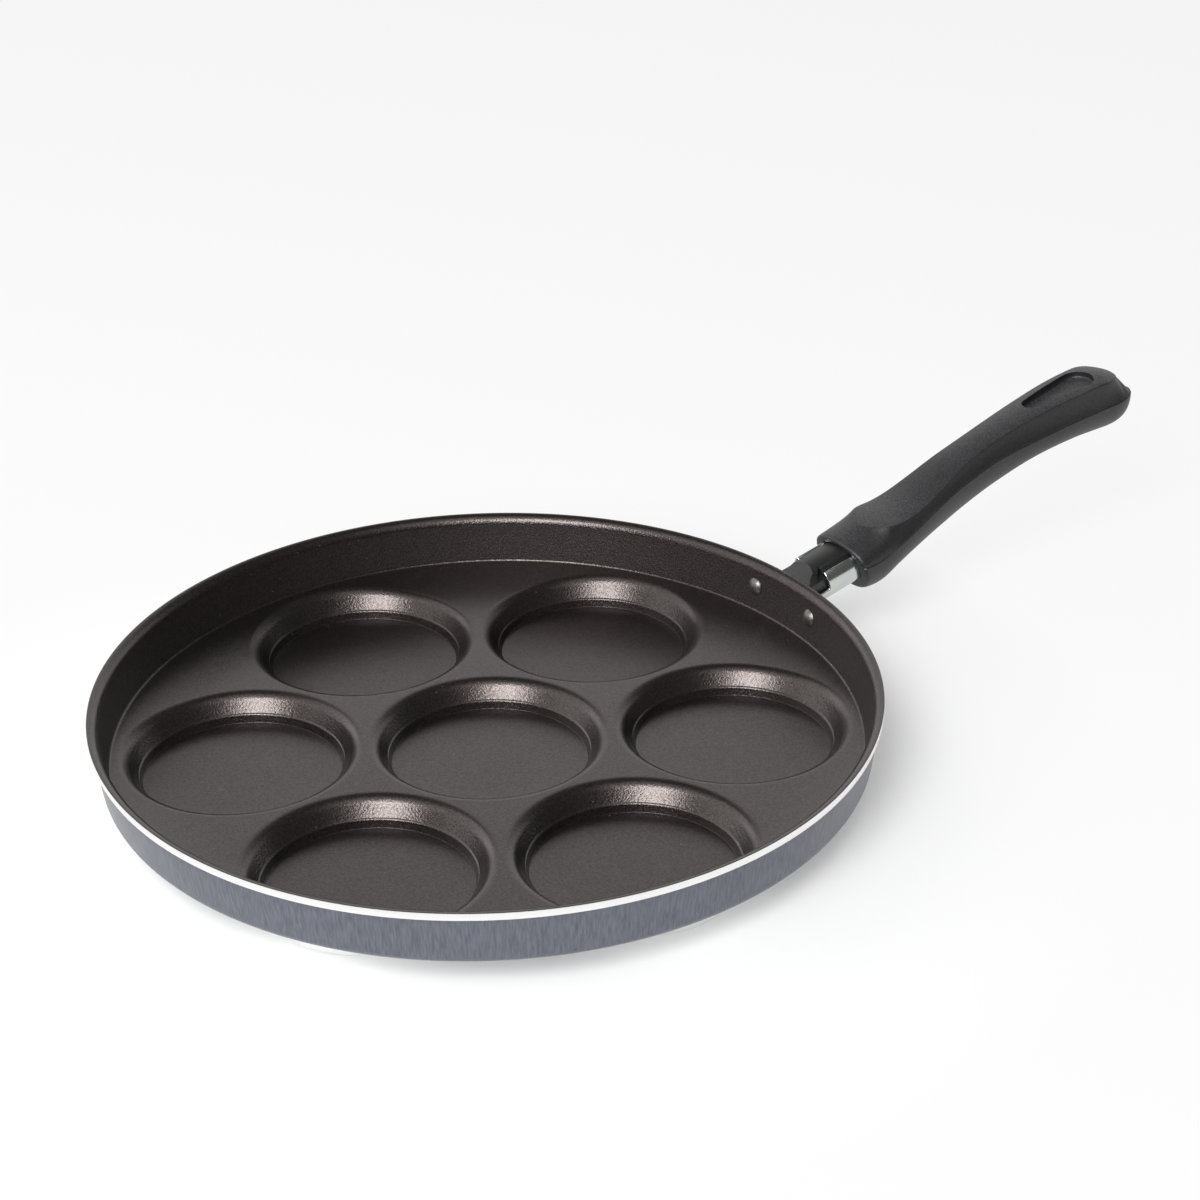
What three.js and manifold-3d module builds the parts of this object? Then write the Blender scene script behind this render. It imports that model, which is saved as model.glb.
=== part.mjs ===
// Seven-well pancake pan: a pressed aluminium body on its wells, with a riveted steel channel
// that carries a moulded grip. Millimetres, +Z up, +X along the grip.
// The origin is on the pan's axis, at the underside of the middle well.
import * as THREE from "three";
import { mergeVertices } from "three/addons/utils/BufferGeometryUtils.js";
import Module from "manifold-3d";

const wasm = await Module();
wasm.setup();

// Clearance between neighbouring pieces
const seatGap = 0.3;

// Pan sheet and wells
const sheet = 2.5;
const wellCount = 6; // wells round the middle one
const wellSheet = 1.8; // the sheet is drawn thinner in the wells
const wellUnderCorner = 3.2; // outer bend round a well's underside
const wellFloorRadius = 33;
const wellFloorFillet = 0.6;
const wellStepHeight = 2.35; // upright step round the floor
const wellLedgeWidth = 1.0;
const wellLedgeRise = 0.9;
const wellConeHeight = 3.45; // straight part of the sloping side
const wellConeSlope = THREE.MathUtils.degToRad(56);
const wellRollRadius = 5;
const wellGap = 1; // flat strip between the rolls of two wells
const wellMargin = 0.8; // flat strip between a roll and the wall's foot

// Pan deck, wall and rim
const dishRise = 1.8; // the deck rises this much from the wells to the wall's foot
const dishWidth = 20;
const footFillet = 1.5;
const wallHeight = 12.5;
const wallFlare = 1.6;
const lipBend = 3.7; // outer bend of the lip, which ends in a bare cut edge

// Rivets, through the wall on either side of the bracket
const rivetSpacing = 30;
const rivetRise = 9.1; // above the wall's foot
const rivetShankRadius = 1.8;
const rivetHeadRadius = 3.1;
const rivetHeadHeight = 1.5;
const rivetTailRadius = 3.1;
const rivetTailHeight = 1.3;

// Bracket: ears along the wall and a C-shaped channel that rises to the grip
const bracketSheet = 1.5;
const earReach = 6.5; // from a rivet to the end of its ear
const earHeight = 9.4;
const neckSlope = THREE.MathUtils.degToRad(12);
const neckRootRise = 12.6; // neck axis above the wall's foot, where it leaves the rim
const channelHalfWidth = 10;
const channelHalfHeight = 5.6;
const channelMouth = 15; // opening between the channel's upper edges
const channelCorner = 4.5;
const channelSideStart = 9; // the sides stand clear of the rim by this much
const channelSkirtHeight = 5; // low part of the channel, which runs in to the ears
const channelLength = 36.5;

// Moulded insert in the channel
const insertCrown = 1.5; // its top bulges above the channel's edges
const insertNoseDrop = 4.6;
const insertNoseRun = 7.4;
const notchDepth = 3.4;
const notchLength = 3.4; // along the neck, its sloping side rises at 45 degrees over this length
const notchRise = 3.3; // floor of the notch above the neck axis

// Grip: its lines are measured from a point on the neck axis just inside the collar's outer end
const gripDatum = 20.5; // along the neck, from the rim
const mouthDistance = 22.8; // where the raked mouth crosses the neck axis
const mouthTilt = THREE.MathUtils.degToRad(21);
const collarWall = 3.2;
const socketShoulder = 1; // the socket turns in over the insert this far inside the channel's width
const socketShoulderDrop = 1.4;
const gripLength = 141.2;
const gripRise = 32.95; // climb of the top face from the collar to its highest place
const crestSetback = 1.8; // the top of the tip ends short of the lower part
const crestFall = 6.3; // length over which it falls to the parting line
const faceSetback = 7.7; // the top face ends short of the tip
const faceRound = 11; // length of the top face's rounded end
const faceSink = 0.9; // drop of the top face over its rounded end
const tipRound = 15; // length of the rounded end
const tipTrim = 0.15; // the last section stands this far short of the point
const gripCrown = 1.1; // the top face bulges this much between its edges
const scoop = 0.34; // how far the sides are drawn in: 0 is a full hollow, 1 a full bulge

// Recess in the top of the grip, near its tip
const recessLength = 33.3;
const recessTipGap = 18.4; // from the recess to the end of the grip
const recessNarrow = 3.7; // radius at the end towards the pan
const recessWide = 6.5; // radius at the tip end
const recessDepth = 3;
const cutReach = 80; // size of the tools that cut right through the grip

// Screw, washer and nut under the collar
const screwRadius = 2.5;
const screwHeadRadius = 4.2;
const screwHeadHeight = 2.2;
const driveRadius = 1.7;
const driveDepth = 1.8;
const washerRadius = 4.6;
const washerThickness = 1;
const boltWeb = 1.6; // moulding between the washer and the channel
const nutWidth = 8;
const nutThickness = 4;
const nutEndWall = 1.5; // insert beyond the nut
const nutWeb = 2.2; // insert between the channel and the nut

const panSegments = 72;
const wellSegments = 32;
const boltSegments = 24;

// Derived sizes of the pan
const floorTop = wellSheet;
const stepTop = floorTop + wellStepHeight;
const ledgeTop = stepTop + wellLedgeRise;
const ledgeRadius = wellFloorRadius + wellLedgeWidth;
const coneTop = ledgeTop + wellConeHeight;
const coneTopRadius = ledgeRadius + wellConeHeight / Math.tan(wellConeSlope);
const deckTop = coneTop + wellRollRadius * (1 - Math.cos(wellConeSlope));
const rollRadius = coneTopRadius + wellRollRadius * Math.sin(wellConeSlope);
const wellPitch = 2 * rollRadius + wellGap;
const footRadius = wellPitch + rollRadius + wellMargin;
const footTop = deckTop + dishRise;
const wallFootRadius = footRadius + footFillet;
const wallFootTop = footTop + footFillet;
const wallTopRadius = wallFootRadius + wallFlare;
const wallTop = wallFootTop + wallHeight;
const rimRadius = wallTopRadius + lipBend;
const rimTop = wallTop + lipBend;
const wallLean = Math.atan2(wallFlare, wallHeight);
const wallThickness = sheet / Math.cos(wallLean);

// Place of the screw, along the neck from the rim
const screwDistance = channelLength - nutEndWall - nutWidth / 2;

// Height of the deck above its flat middle, at a distance from the pan's axis
function dishAt(radius) {
  const inset = Math.max(0, radius - (footRadius - dishWidth)) / dishWidth;
  return dishRise * Math.min(1, inset) ** 2;
}

// Radius of the wall's outer face at a height
function wallOuterAt(height) {
  return wallFootRadius + wallThickness + ((height - wallFootTop) * wallFlare) / wallHeight;
}

// Points on an arc, in degrees, both ends included
function arc(x, y, radius, from, to, steps) {
  const points = [];
  for (let i = 0; i <= steps; i++) {
    const angle = THREE.MathUtils.degToRad(from + ((to - from) * i) / steps);
    points.push(new THREE.Vector2(x + radius * Math.cos(angle), y + radius * Math.sin(angle)));
  }
  return points;
}

const at = (x, y) => new THREE.Vector2(x, y);

// A body turned about Z from a profile of radius and height
function turned(profile, segments) {
  return new THREE.LatheGeometry(profile, segments).rotateX(Math.PI / 2);
}

// A section in Y and Z, pushed along X from one place to another
function pushed(shape, from, to, steps = 1) {
  const geometry = new THREE.ExtrudeGeometry(shape, { depth: to - from, steps, bevelEnabled: false });
  geometry.rotateX(Math.PI / 2).rotateZ(Math.PI / 2);
  return geometry.translate(from, 0, 0);
}

// A round bar along Z
function bar(radius, bottom, top, segments = boltSegments) {
  const geometry = new THREE.CylinderGeometry(radius, radius, top - bottom, segments);
  return geometry.rotateX(Math.PI / 2).translate(0, 0, (bottom + top) / 2);
}

function block(sizeX, sizeY, sizeZ, x, y, z) {
  return new THREE.BoxGeometry(sizeX, sizeY, sizeZ).translate(x, y, z);
}

// A closed geometry as a solid that can be joined and cut
function solid(geometry) {
  const bare = geometry.clone();
  bare.deleteAttribute("normal");
  bare.deleteAttribute("uv");
  const merged = mergeVertices(bare, 1e-4);
  const corners = merged.index.array;
  const kept = [];
  for (let i = 0; i < corners.length; i += 3) {
    const [a, b, c] = corners.subarray(i, i + 3);
    if (a !== b && b !== c && c !== a) kept.push(a, b, c);
  }
  return new wasm.Manifold(
    new wasm.Mesh({
      numProp: 3,
      vertProperties: merged.attributes.position.array,
      triVerts: new Uint32Array(kept),
    }),
  );
}

// A solid as a geometry again
function geometryOf(made) {
  const mesh = made.getMesh();
  const geometry = new THREE.BufferGeometry();
  geometry.setAttribute("position", new THREE.BufferAttribute(mesh.vertProperties, 3));
  geometry.setIndex(new THREE.BufferAttribute(mesh.triVerts, 1));
  geometry.computeVertexNormals();
  return geometry;
}

const pan = new THREE.Group();

function add(parent, name, geometry, material) {
  const mesh = new THREE.Mesh(geometry, material);
  mesh.name = name;
  parent.add(mesh);
  return mesh;
}

// Pan body: one sheet, turned, with the wells pressed down out of its deck

function panShell() {
  const dishSteps = 4;
  const dishTop = [];
  for (let i = 0; i <= dishSteps; i++) {
    const radius = footRadius - (dishWidth * i) / dishSteps;
    dishTop.push(at(radius, deckTop + dishAt(radius)));
  }
  const dishUnder = dishTop.map((p) => at(p.x, p.y - sheet)).reverse();
  const profile = [
    at(0, deckTop - sheet),
    ...dishUnder,
    ...arc(footRadius, wallFootTop, footFillet + wallThickness, -90, 0, 4).slice(1),
    ...arc(rimRadius, wallTop, lipBend - wallThickness, 180, 90, 2),
    ...arc(rimRadius, wallTop, lipBend, 90, 180, 4),
    ...arc(footRadius, wallFootTop, footFillet, 0, -90, 2),
    ...dishTop.slice(1),
    at(0, deckTop),
  ];
  return solid(turned(profile, panSegments));
}

// Raises the upper part of a well so that its roll meets the dished deck
function liftOntoDish(geometry, low, high) {
  const place = geometry.attributes.position;
  for (let i = 0; i < place.count; i++) {
    const share = THREE.MathUtils.clamp((place.getZ(i) - low) / (high - low), 0, 1);
    const radius = Math.hypot(place.getX(i), place.getY(i));
    place.setZ(i, place.getZ(i) + share * dishAt(radius));
  }
  return geometry;
}

function wellHollow(x, y) {
  const overDeck = 4;
  const slope = THREE.MathUtils.radToDeg(wellConeSlope);
  const profile = [
    at(0, floorTop),
    ...arc(wellFloorRadius - wellFloorFillet, floorTop + wellFloorFillet, wellFloorFillet, -90, 0, 1),
    at(wellFloorRadius, stepTop),
    at(ledgeRadius, ledgeTop),
    ...arc(rollRadius, deckTop - wellRollRadius, wellRollRadius, 90 + slope, 90, 3),
    at(rollRadius, deckTop + overDeck),
    at(0, deckTop + overDeck),
  ];
  return liftOntoDish(turned(profile, wellSegments).translate(x, y, 0), ledgeTop, deckTop);
}

function wellCup(x, y) {
  const underDeck = deckTop - sheet;
  const rise = 1 / Math.tan(wellConeSlope);
  const coneRadius = ledgeRadius + wellSheet * Math.sin(wellConeSlope);
  const coneFoot = ledgeTop - wellSheet * Math.cos(wellConeSlope);
  const cupRadius = wellFloorRadius + wellSheet;
  const inSheet = deckTop - sheet / 2;
  const profile = [
    at(0, 0),
    ...arc(cupRadius - wellUnderCorner, wellUnderCorner, wellUnderCorner, -90, 0, 3),
    at(cupRadius, coneFoot - (coneRadius - cupRadius) / rise),
    at(coneRadius + (underDeck - coneFoot) * rise, underDeck),
    at(coneRadius + (inSheet - coneFoot) * rise, inSheet),
    at(0, inSheet),
  ];
  return liftOntoDish(turned(profile, wellSegments).translate(x, y, 0), coneFoot, underDeck);
}

const wellPlaces = [[0, 0]];
for (let i = 0; i < wellCount; i++) {
  const angle = ((i + 0.5) * 2 * Math.PI) / wellCount; // the grip lies between two wells
  wellPlaces.push([wellPitch * Math.cos(angle), wellPitch * Math.sin(angle)]);
}

// A frame on the wall for a rivet: its Z points out of the pan, square to the leaning wall
const rivetHeight = footTop + rivetRise;
const rivetSeatRadius = wallOuterAt(rivetHeight) - wallThickness;
const rivetAngle = Math.asin(rivetSpacing / 2 / rivetSeatRadius);

function rivetFrame(angle) {
  const matrix = new THREE.Matrix4().makeTranslation(rivetSeatRadius, 0, rivetHeight);
  matrix.multiply(new THREE.Matrix4().makeRotationY(Math.PI / 2 + wallLean));
  return new THREE.Matrix4().makeRotationZ(angle).multiply(matrix);
}

function rivetHole(angle) {
  const reach = 4 * sheet;
  return solid(bar(rivetShankRadius + seatGap, -reach, reach).applyMatrix4(rivetFrame(angle)));
}

let body = panShell();
for (const [x, y] of wellPlaces) body = body.add(solid(wellCup(x, y)));
for (const [x, y] of wellPlaces) body = body.subtract(solid(wellHollow(x, y)));
for (const side of [1, -1]) body = body.subtract(rivetHole(side * rivetAngle));

const coatedAluminium = new THREE.MeshStandardMaterial({ color: 0x3d3935, roughness: 0.45, metalness: 0.3 });
add(pan, "pan_body", geometryOf(body), coatedAluminium);

// Rivets: a domed head inside the pan, a flat tail outside the ear

function rivet() {
  const grip = sheet + bracketSheet + seatGap;
  const dome = (rivetHeadRadius ** 2 + rivetHeadHeight ** 2) / (2 * rivetHeadHeight);
  const edge = THREE.MathUtils.radToDeg(Math.asin(rivetHeadRadius / dome));
  const under = -seatGap;
  const over = grip + seatGap;
  const profile = [
    ...arc(0, under - rivetHeadHeight + dome, dome, -90, -90 + edge, 4),
    at(rivetShankRadius, under),
    at(rivetShankRadius, over),
    at(rivetTailRadius, over),
    at(rivetTailRadius * 0.8, over + rivetTailHeight),
    at(0, over + rivetTailHeight),
  ];
  profile[0].x = 0;
  return turned(profile, boltSegments);
}

const rivetMetal = new THREE.MeshStandardMaterial({ color: 0x6f6c69, roughness: 0.4, metalness: 0.9 });
for (const [name, side] of [
  ["rivet_left", 1],
  ["rivet_right", -1],
]) {
  const mesh = add(pan, name, rivet(), rivetMetal);
  mesh.applyMatrix4(rivetFrame(side * rivetAngle));
}

// The neck's frame: X along the channel, from the rim out, and Z square to it
const neck = new THREE.Group();
neck.position.set(rimRadius, 0, footTop + neckRootRise);
neck.rotation.y = -neckSlope;
neck.updateMatrix();
pan.add(neck);

function inNeck(geometry) {
  return solid(geometry.applyMatrix4(neck.matrix));
}

// Half outline of the channel's outside, from its upper edge down to the middle of its floor
function channelOutline(offset) {
  const half = channelHalfWidth + offset;
  const low = -channelHalfHeight - offset;
  const corner = channelCorner + offset;
  const edge = at(channelMouth / 2, channelHalfHeight);
  const lean = at(half, channelHalfHeight * 0.35);
  return [edge, lean, ...arc(half - corner, low + corner, corner, 0, -90, 4)];
}

function mirrored(points) {
  return points.map((p) => at(-p.x, p.y)).reverse();
}

function channelShape() {
  const outer = channelOutline(0);
  const inner = channelOutline(-bracketSheet);
  inner[0] = at(channelMouth / 2 - bracketSheet, channelHalfHeight - bracketSheet * 0.25);
  const back = [...inner, ...mirrored(inner)].reverse();
  return new THREE.Shape([...outer, ...mirrored(outer), ...back]);
}

function ears() {
  const top = rivetHeight + earHeight / 2;
  const bottom = rivetHeight - earHeight / 2;
  const inner = (height) => wallOuterAt(height) + seatGap;
  const ring = [
    at(inner(bottom), bottom),
    at(inner(bottom) + bracketSheet, bottom),
    at(inner(top) + bracketSheet, top),
    at(inner(top), top),
    at(inner(bottom), bottom),
  ];
  const width = rivetSpacing + 2 * earReach;
  const window = block(rimRadius, width, 4 * earHeight, rimRadius, 0, rivetHeight);
  return solid(turned(ring, panSegments)).intersect(solid(window));
}

function bracket() {
  const rootInset = rimRadius - wallOuterAt(rivetHeight) - seatGap - bracketSheet / 2;
  const channel = inNeck(pushed(channelShape(), -rootInset, channelLength));
  const clearHeight = 4 * channelHalfHeight;
  const clear = block(
    2 * channelSideStart,
    4 * channelHalfWidth,
    clearHeight,
    0,
    0,
    -channelHalfHeight + channelSkirtHeight + clearHeight / 2,
  );
  const hole = bar(screwRadius + seatGap, -3 * channelHalfHeight, 0).translate(screwDistance, 0, 0);
  let made = ears().add(channel).subtract(inNeck(clear)).subtract(inNeck(hole));
  for (const side of [1, -1]) made = made.subtract(rivetHole(side * rivetAngle));
  return made;
}

const zincSteel = new THREE.MeshStandardMaterial({ color: 0xc3c9cb, roughness: 0.25, metalness: 1 });
add(pan, "handle_bracket", geometryOf(bracket()), zincSteel);

// Insert: fills the channel, its nose is wider below, and slopes down to the rim between two notches

const insertLow = -channelHalfHeight + bracketSheet + seatGap;
const insertHalf = channelHalfWidth - bracketSheet - seatGap;
const insertTop = channelHalfHeight + insertCrown;
const insertEdge = channelMouth / 2 - bracketSheet - seatGap;
const nutBottom = insertLow + nutWeb;

function insertShape(cheekTop) {
  const corner = Math.max(0.5, channelCorner - bracketSheet - seatGap);
  const side = [
    ...arc(insertHalf - corner, insertLow + corner, corner, -90, 0, 3),
    at(insertHalf, cheekTop),
    at(insertEdge, channelHalfHeight - bracketSheet * 0.25),
    at(insertEdge * 0.93, channelHalfHeight + insertCrown * 0.35),
    at(insertEdge * 0.55, channelHalfHeight + insertCrown * 0.83),
    at(0, insertTop),
  ];
  return new THREE.Shape([...side, ...mirrored(side).slice(1)]);
}

function noseCut() {
  const shape = new THREE.Shape([
    at(-seatGap, insertTop - insertNoseDrop),
    at(insertNoseRun, insertTop),
    at(insertNoseRun, 2 * insertTop),
    at(-seatGap, 2 * insertTop),
  ]);
  const width = 4 * channelHalfWidth;
  const geometry = new THREE.ExtrudeGeometry(shape, { depth: width, bevelEnabled: false });
  return geometry.rotateX(Math.PI / 2).translate(0, width / 2, 0);
}

// Wedge cut into one side of the nose, next to the channel: a level floor and a sloping side
function notch(side) {
  const start = channelSideStart - notchLength;
  const shape = new THREE.Shape([
    at(start, notchRise),
    at(channelSideStart, notchRise),
    at(channelSideStart, notchRise + notchLength),
  ]);
  const width = notchDepth + insertHalf - insertEdge;
  const geometry = new THREE.ExtrudeGeometry(shape, { depth: width, bevelEnabled: false });
  const middle = side * (insertHalf + seatGap - width / 2);
  return geometry.rotateX(Math.PI / 2).translate(0, middle + width / 2, 0);
}

function insert() {
  const start = seatGap * 2;
  const nose = pushed(insertShape(notchRise), start, channelSideStart - seatGap);
  const core = pushed(insertShape(channelHalfHeight * 0.3), start, channelLength);
  let made = solid(core).add(solid(nose)).subtract(solid(noseCut()));
  for (const side of [1, -1]) made = made.subtract(solid(notch(side)));
  const pocketWidth = nutWidth + 2 * seatGap;
  const pocketHeight = insertTop * 2 - nutBottom;
  const pocketMiddle = nutBottom - seatGap + pocketHeight / 2;
  const pocket = block(pocketWidth, pocketWidth, pocketHeight, screwDistance, 0, pocketMiddle);
  const hole = bar(screwRadius + seatGap, 2 * insertLow, insertTop).translate(screwDistance, 0, 0);
  return made.subtract(solid(pocket)).subtract(solid(hole));
}

const blackMoulding = new THREE.MeshStandardMaterial({ color: 0x232224, roughness: 0.6, metalness: 0 });
add(neck, "neck_insert", geometryOf(insert()), blackMoulding);

// Grip: sections along X, each with a flat top, drawn-in sides and a rounded underside

const datum = new THREE.Vector3(gripDatum, 0, 0).applyMatrix4(neck.matrix);
const mouth = new THREE.Vector3(mouthDistance, 0, 0).applyMatrix4(neck.matrix);
const socketTop = insertTop + 2 * seatGap;
const collarHalf = channelHalfWidth + seatGap + collarWall;
const collarTop = socketTop + collarWall / 2;
const collarLow = -channelHalfHeight - seatGap - collarWall;

// By share of the grip's length: climb above the collar, as a share of the whole rise
const topLine = [
  [-0.04, -0.069],
  [0, 0.003],
  [0.05, 0.1],
  [0.1, 0.13],
  [0.17, 0.149],
  [0.23, 0.221],
  [0.295, 0.346],
  [0.36, 0.484],
  [0.42, 0.585],
  [0.505, 0.702],
  [0.63, 0.838],
  [0.77, 0.949],
  [0.885, 1],
  [1, 0.99],
];
const partingLine = [
  [-0.04, 0.049],
  [0, 0.067],
  [0.07, 0.109],
  [0.14, 0.225],
  [0.21, 0.352],
  [0.28, 0.479],
  [0.35, 0.589],
  [0.42, 0.679],
  [0.49, 0.765],
  [0.63, 0.868],
  [0.77, 0.959],
  [0.885, 1.002],
  [1, 1.032],
];
const bottomLine = [
  [-0.04, 0.039],
  [0, 0.012],
  [0.05, -0.042],
  [0.1, -0.024],
  [0.14, 0.07],
  [0.19, 0.165],
  [0.26, 0.281],
  [0.33, 0.388],
  [0.42, 0.532],
  [0.505, 0.655],
  [0.63, 0.81],
  [0.77, 0.897],
  [0.885, 0.91],
  [1, 0.912],
];

// Half widths, as a share of the collar's
const partingHalf = [
  [-0.04, 0.955],
  [0, 1],
  [0.125, 1],
  [0.195, 0.933],
  [0.28, 0.83],
  [0.365, 0.733],
  [0.465, 0.69],
  [0.63, 0.733],
  [0.77, 0.807],
  [1, 0.837],
];
const topHalf = [
  [-0.04, 0.22],
  [0, 0.269],
  [0.05, 0.38],
  [0.08, 0.525],
  [0.11, 0.71],
  [0.145, 0.771],
  [0.185, 0.76],
  [0.24, 0.72],
  [0.295, 0.65],
  [0.365, 0.552],
  [0.435, 0.498],
  [0.505, 0.493],
  [0.63, 0.551],
  [0.77, 0.65],
  [1, 0.71],
];
const sideBulge = [
  [-0.04, 0.95],
  [0.04, 0.9],
  [0.125, 0.65],
  [0.21, scoop],
  [0.9, scoop],
  [1, 0.75],
];

// A smooth line through the points of a table
function lineThrough(table, start, size) {
  const places = table.map((row) => row[0]);
  const values = table.map((row) => row[1]);
  const line = new THREE.CubicInterpolant(places, values, 1);
  return (place) => start + line.evaluate(place / gripLength)[0] * size;
}

const topAt = lineThrough(topLine, collarTop, gripRise);
const partingAt = lineThrough(partingLine, 0, gripRise);
const bottomAt = lineThrough(bottomLine, collarLow, gripRise);
const partingHalfAt = lineThrough(partingHalf, 0, collarHalf);
const topHalfAt = lineThrough(topHalf, 0, collarHalf);
const bulgeAt = lineThrough(sideBulge, 0, 1);

// How far a place lies within the last part before an end: 0 where the part starts, 1 at the end
function within(place, end, length) {
  return THREE.MathUtils.clamp((place - (end - length)) / length, 0, 1);
}

// Half of a section, from the middle of the top down to the middle of the underside
function gripSection(place) {
  const sideSteps = 4;
  const underSteps = 5;
  const parting = partingAt(place);
  const end = Math.sqrt(1 - within(place, gripLength, tipRound) ** 2);
  const faceEnd = within(place, gripLength - faceSetback, faceRound);
  const face = Math.sqrt(1 - faceEnd ** 2);
  const fall = (1 - within(place, gripLength - crestSetback, crestFall) ** 1.6) ** 0.8;
  const half = partingHalfAt(place) * end ** 0.8;
  const top = parting + (topAt(place) - faceSink * faceEnd ** 2 - parting) * Math.max(fall, 0.02);
  const flat = Math.min(topHalfAt(place) * Math.max(face, 0.05), half * 0.96);
  const depth = (parting - bottomAt(place)) * end ** 0.37;
  const bulge = bulgeAt(place);
  const pull = at(flat + (half - flat) * bulge, parting + (top - parting) * bulge);
  const side = new THREE.QuadraticBezierCurve(at(flat, top), pull, at(half, parting));
  const crown = gripCrown * face;
  const points = [at(0, top + crown), at(flat / 2, top + crown * 0.75), ...side.getPoints(sideSteps)];
  for (let i = 1; i <= underSteps; i++) {
    const angle = ((Math.PI / 2) * i) / underSteps;
    points.push(at(half * Math.cos(angle) ** 0.9, parting - depth * Math.sin(angle) ** 0.9));
  }
  points[points.length - 1].x = 0;
  return points;
}

// A closed skin over sections that all have as many points
function skinned(sections) {
  const count = sections[0].length;
  const corners = [];
  const places = sections.flat().flatMap((p) => [p.x, p.y, p.z]);
  for (let s = 0; s + 1 < sections.length; s++) {
    for (let i = 0; i < count; i++) {
      const a = s * count + i;
      const b = s * count + ((i + 1) % count);
      corners.push(a, a + count, b, b, a + count, b + count);
    }
  }
  const last = (sections.length - 1) * count;
  for (let i = 1; i + 1 < count; i++) {
    corners.push(0, i, i + 1);
    corners.push(last, last + i + 1, last + i);
  }
  const geometry = new THREE.BufferGeometry();
  geometry.setAttribute("position", new THREE.Float32BufferAttribute(places, 3));
  geometry.setIndex(corners);
  return geometry;
}

function gripBody() {
  const stations = 34;
  const first = -0.04 * gripLength; // trimmed off again at the mouth
  const sections = [];
  for (let i = 0; i <= stations; i++) {
    const share = i / stations;
    const eased = 1 - (1 - share) ** 1.35; // closer together towards the rounded tip
    const place = first + (gripLength - tipTrim - first) * eased;
    const half = gripSection(place);
    const ring = [...half, ...mirrored(half).slice(1, -1)];
    sections.push(ring.map((p) => new THREE.Vector3(datum.x + place, p.x, datum.z + p.y)));
  }
  return solid(skinned(sections));
}

function recess() {
  const narrowAt = gripLength - recessTipGap - recessLength + recessNarrow;
  const wideAt = gripLength - recessTipGap - recessWide;
  const shape = new THREE.Shape([
    ...arc(narrowAt, 0, recessNarrow, 90, 270, 6),
    ...arc(wideAt, 0, recessWide, -90, 90, 8),
  ]);
  const geometry = new THREE.ExtrudeGeometry(shape, { depth: cutReach / 4, bevelEnabled: false });
  const place = geometry.attributes.position;
  for (let i = 0; i < place.count; i++) {
    const along = place.getX(i);
    place.setZ(i, datum.z + topAt(along) + gripCrown - recessDepth + place.getZ(i));
    place.setX(i, datum.x + along);
  }
  return solid(geometry);
}

function socketShape() {
  const side = channelOutline(seatGap).reverse();
  side[side.length - 1] = at(channelHalfWidth - socketShoulder, socketTop - socketShoulderDrop);
  side.push(at(insertEdge, socketTop));
  return new THREE.Shape([...side, ...mirrored(side)]);
}

const washerTop = -channelHalfHeight - boltWeb;
const headTop = washerTop - washerThickness - 2 * seatGap;

function grip() {
  const far = cutReach;
  const front = block(far, far, far, -far / 2, 0, 0).rotateY(-mouthTilt).translate(mouth.x, 0, mouth.z);
  const socket = pushed(socketShape(), 0, channelLength + 2 * seatGap);
  const hole = bar(screwRadius + seatGap, -far, 0).translate(screwDistance, 0, 0);
  const wellBore = bar(washerRadius + seatGap, -far, washerTop).translate(screwDistance, 0, 0);
  let made = gripBody().subtract(solid(front)).subtract(inNeck(socket));
  made = made.subtract(inNeck(hole)).subtract(inNeck(wellBore));
  return made.subtract(recess());
}

add(pan, "handle_grip", geometryOf(grip()), blackMoulding.clone());

// Screw, washer and nut, square to the neck

function screw() {
  const tip = nutBottom + nutThickness + seatGap;
  const low = headTop - screwHeadHeight;
  const profile = [
    at(0, low),
    at(screwHeadRadius * 0.8, low),
    at(screwHeadRadius, low + screwHeadHeight * 0.4),
    at(screwHeadRadius, headTop),
    at(screwRadius, headTop),
    at(screwRadius, tip),
    at(0, tip),
  ];
  const drive = bar(driveRadius, low - 1, low + driveDepth, 6);
  return geometryOf(solid(turned(profile, boltSegments)).subtract(solid(drive)));
}

function washer() {
  const low = washerTop - seatGap - washerThickness;
  const ring = [
    at(screwRadius + seatGap, low),
    at(washerRadius, low),
    at(washerRadius, low + washerThickness),
    at(screwRadius + seatGap, low + washerThickness),
    at(screwRadius + seatGap, low),
  ];
  return turned(ring, boltSegments);
}

function nut() {
  const plate = solid(block(nutWidth, nutWidth, nutThickness, 0, 0, nutBottom + nutThickness / 2));
  return geometryOf(plate.subtract(solid(bar(screwRadius + seatGap, 2 * insertLow, 2 * insertTop))));
}

const fastener = new THREE.Group();
fastener.position.x = screwDistance;
neck.add(fastener);
add(fastener, "handle_screw", screw(), zincSteel.clone());
add(fastener, "screw_washer", washer(), zincSteel.clone());
add(fastener, "square_nut", nut(), zincSteel.clone());

export default pan;
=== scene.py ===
from math import acos, asin, atan2, cos, degrees, hypot, pi, radians, sin, sqrt, tan

import bmesh
import bpy
from mathutils import Matrix, Vector


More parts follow.
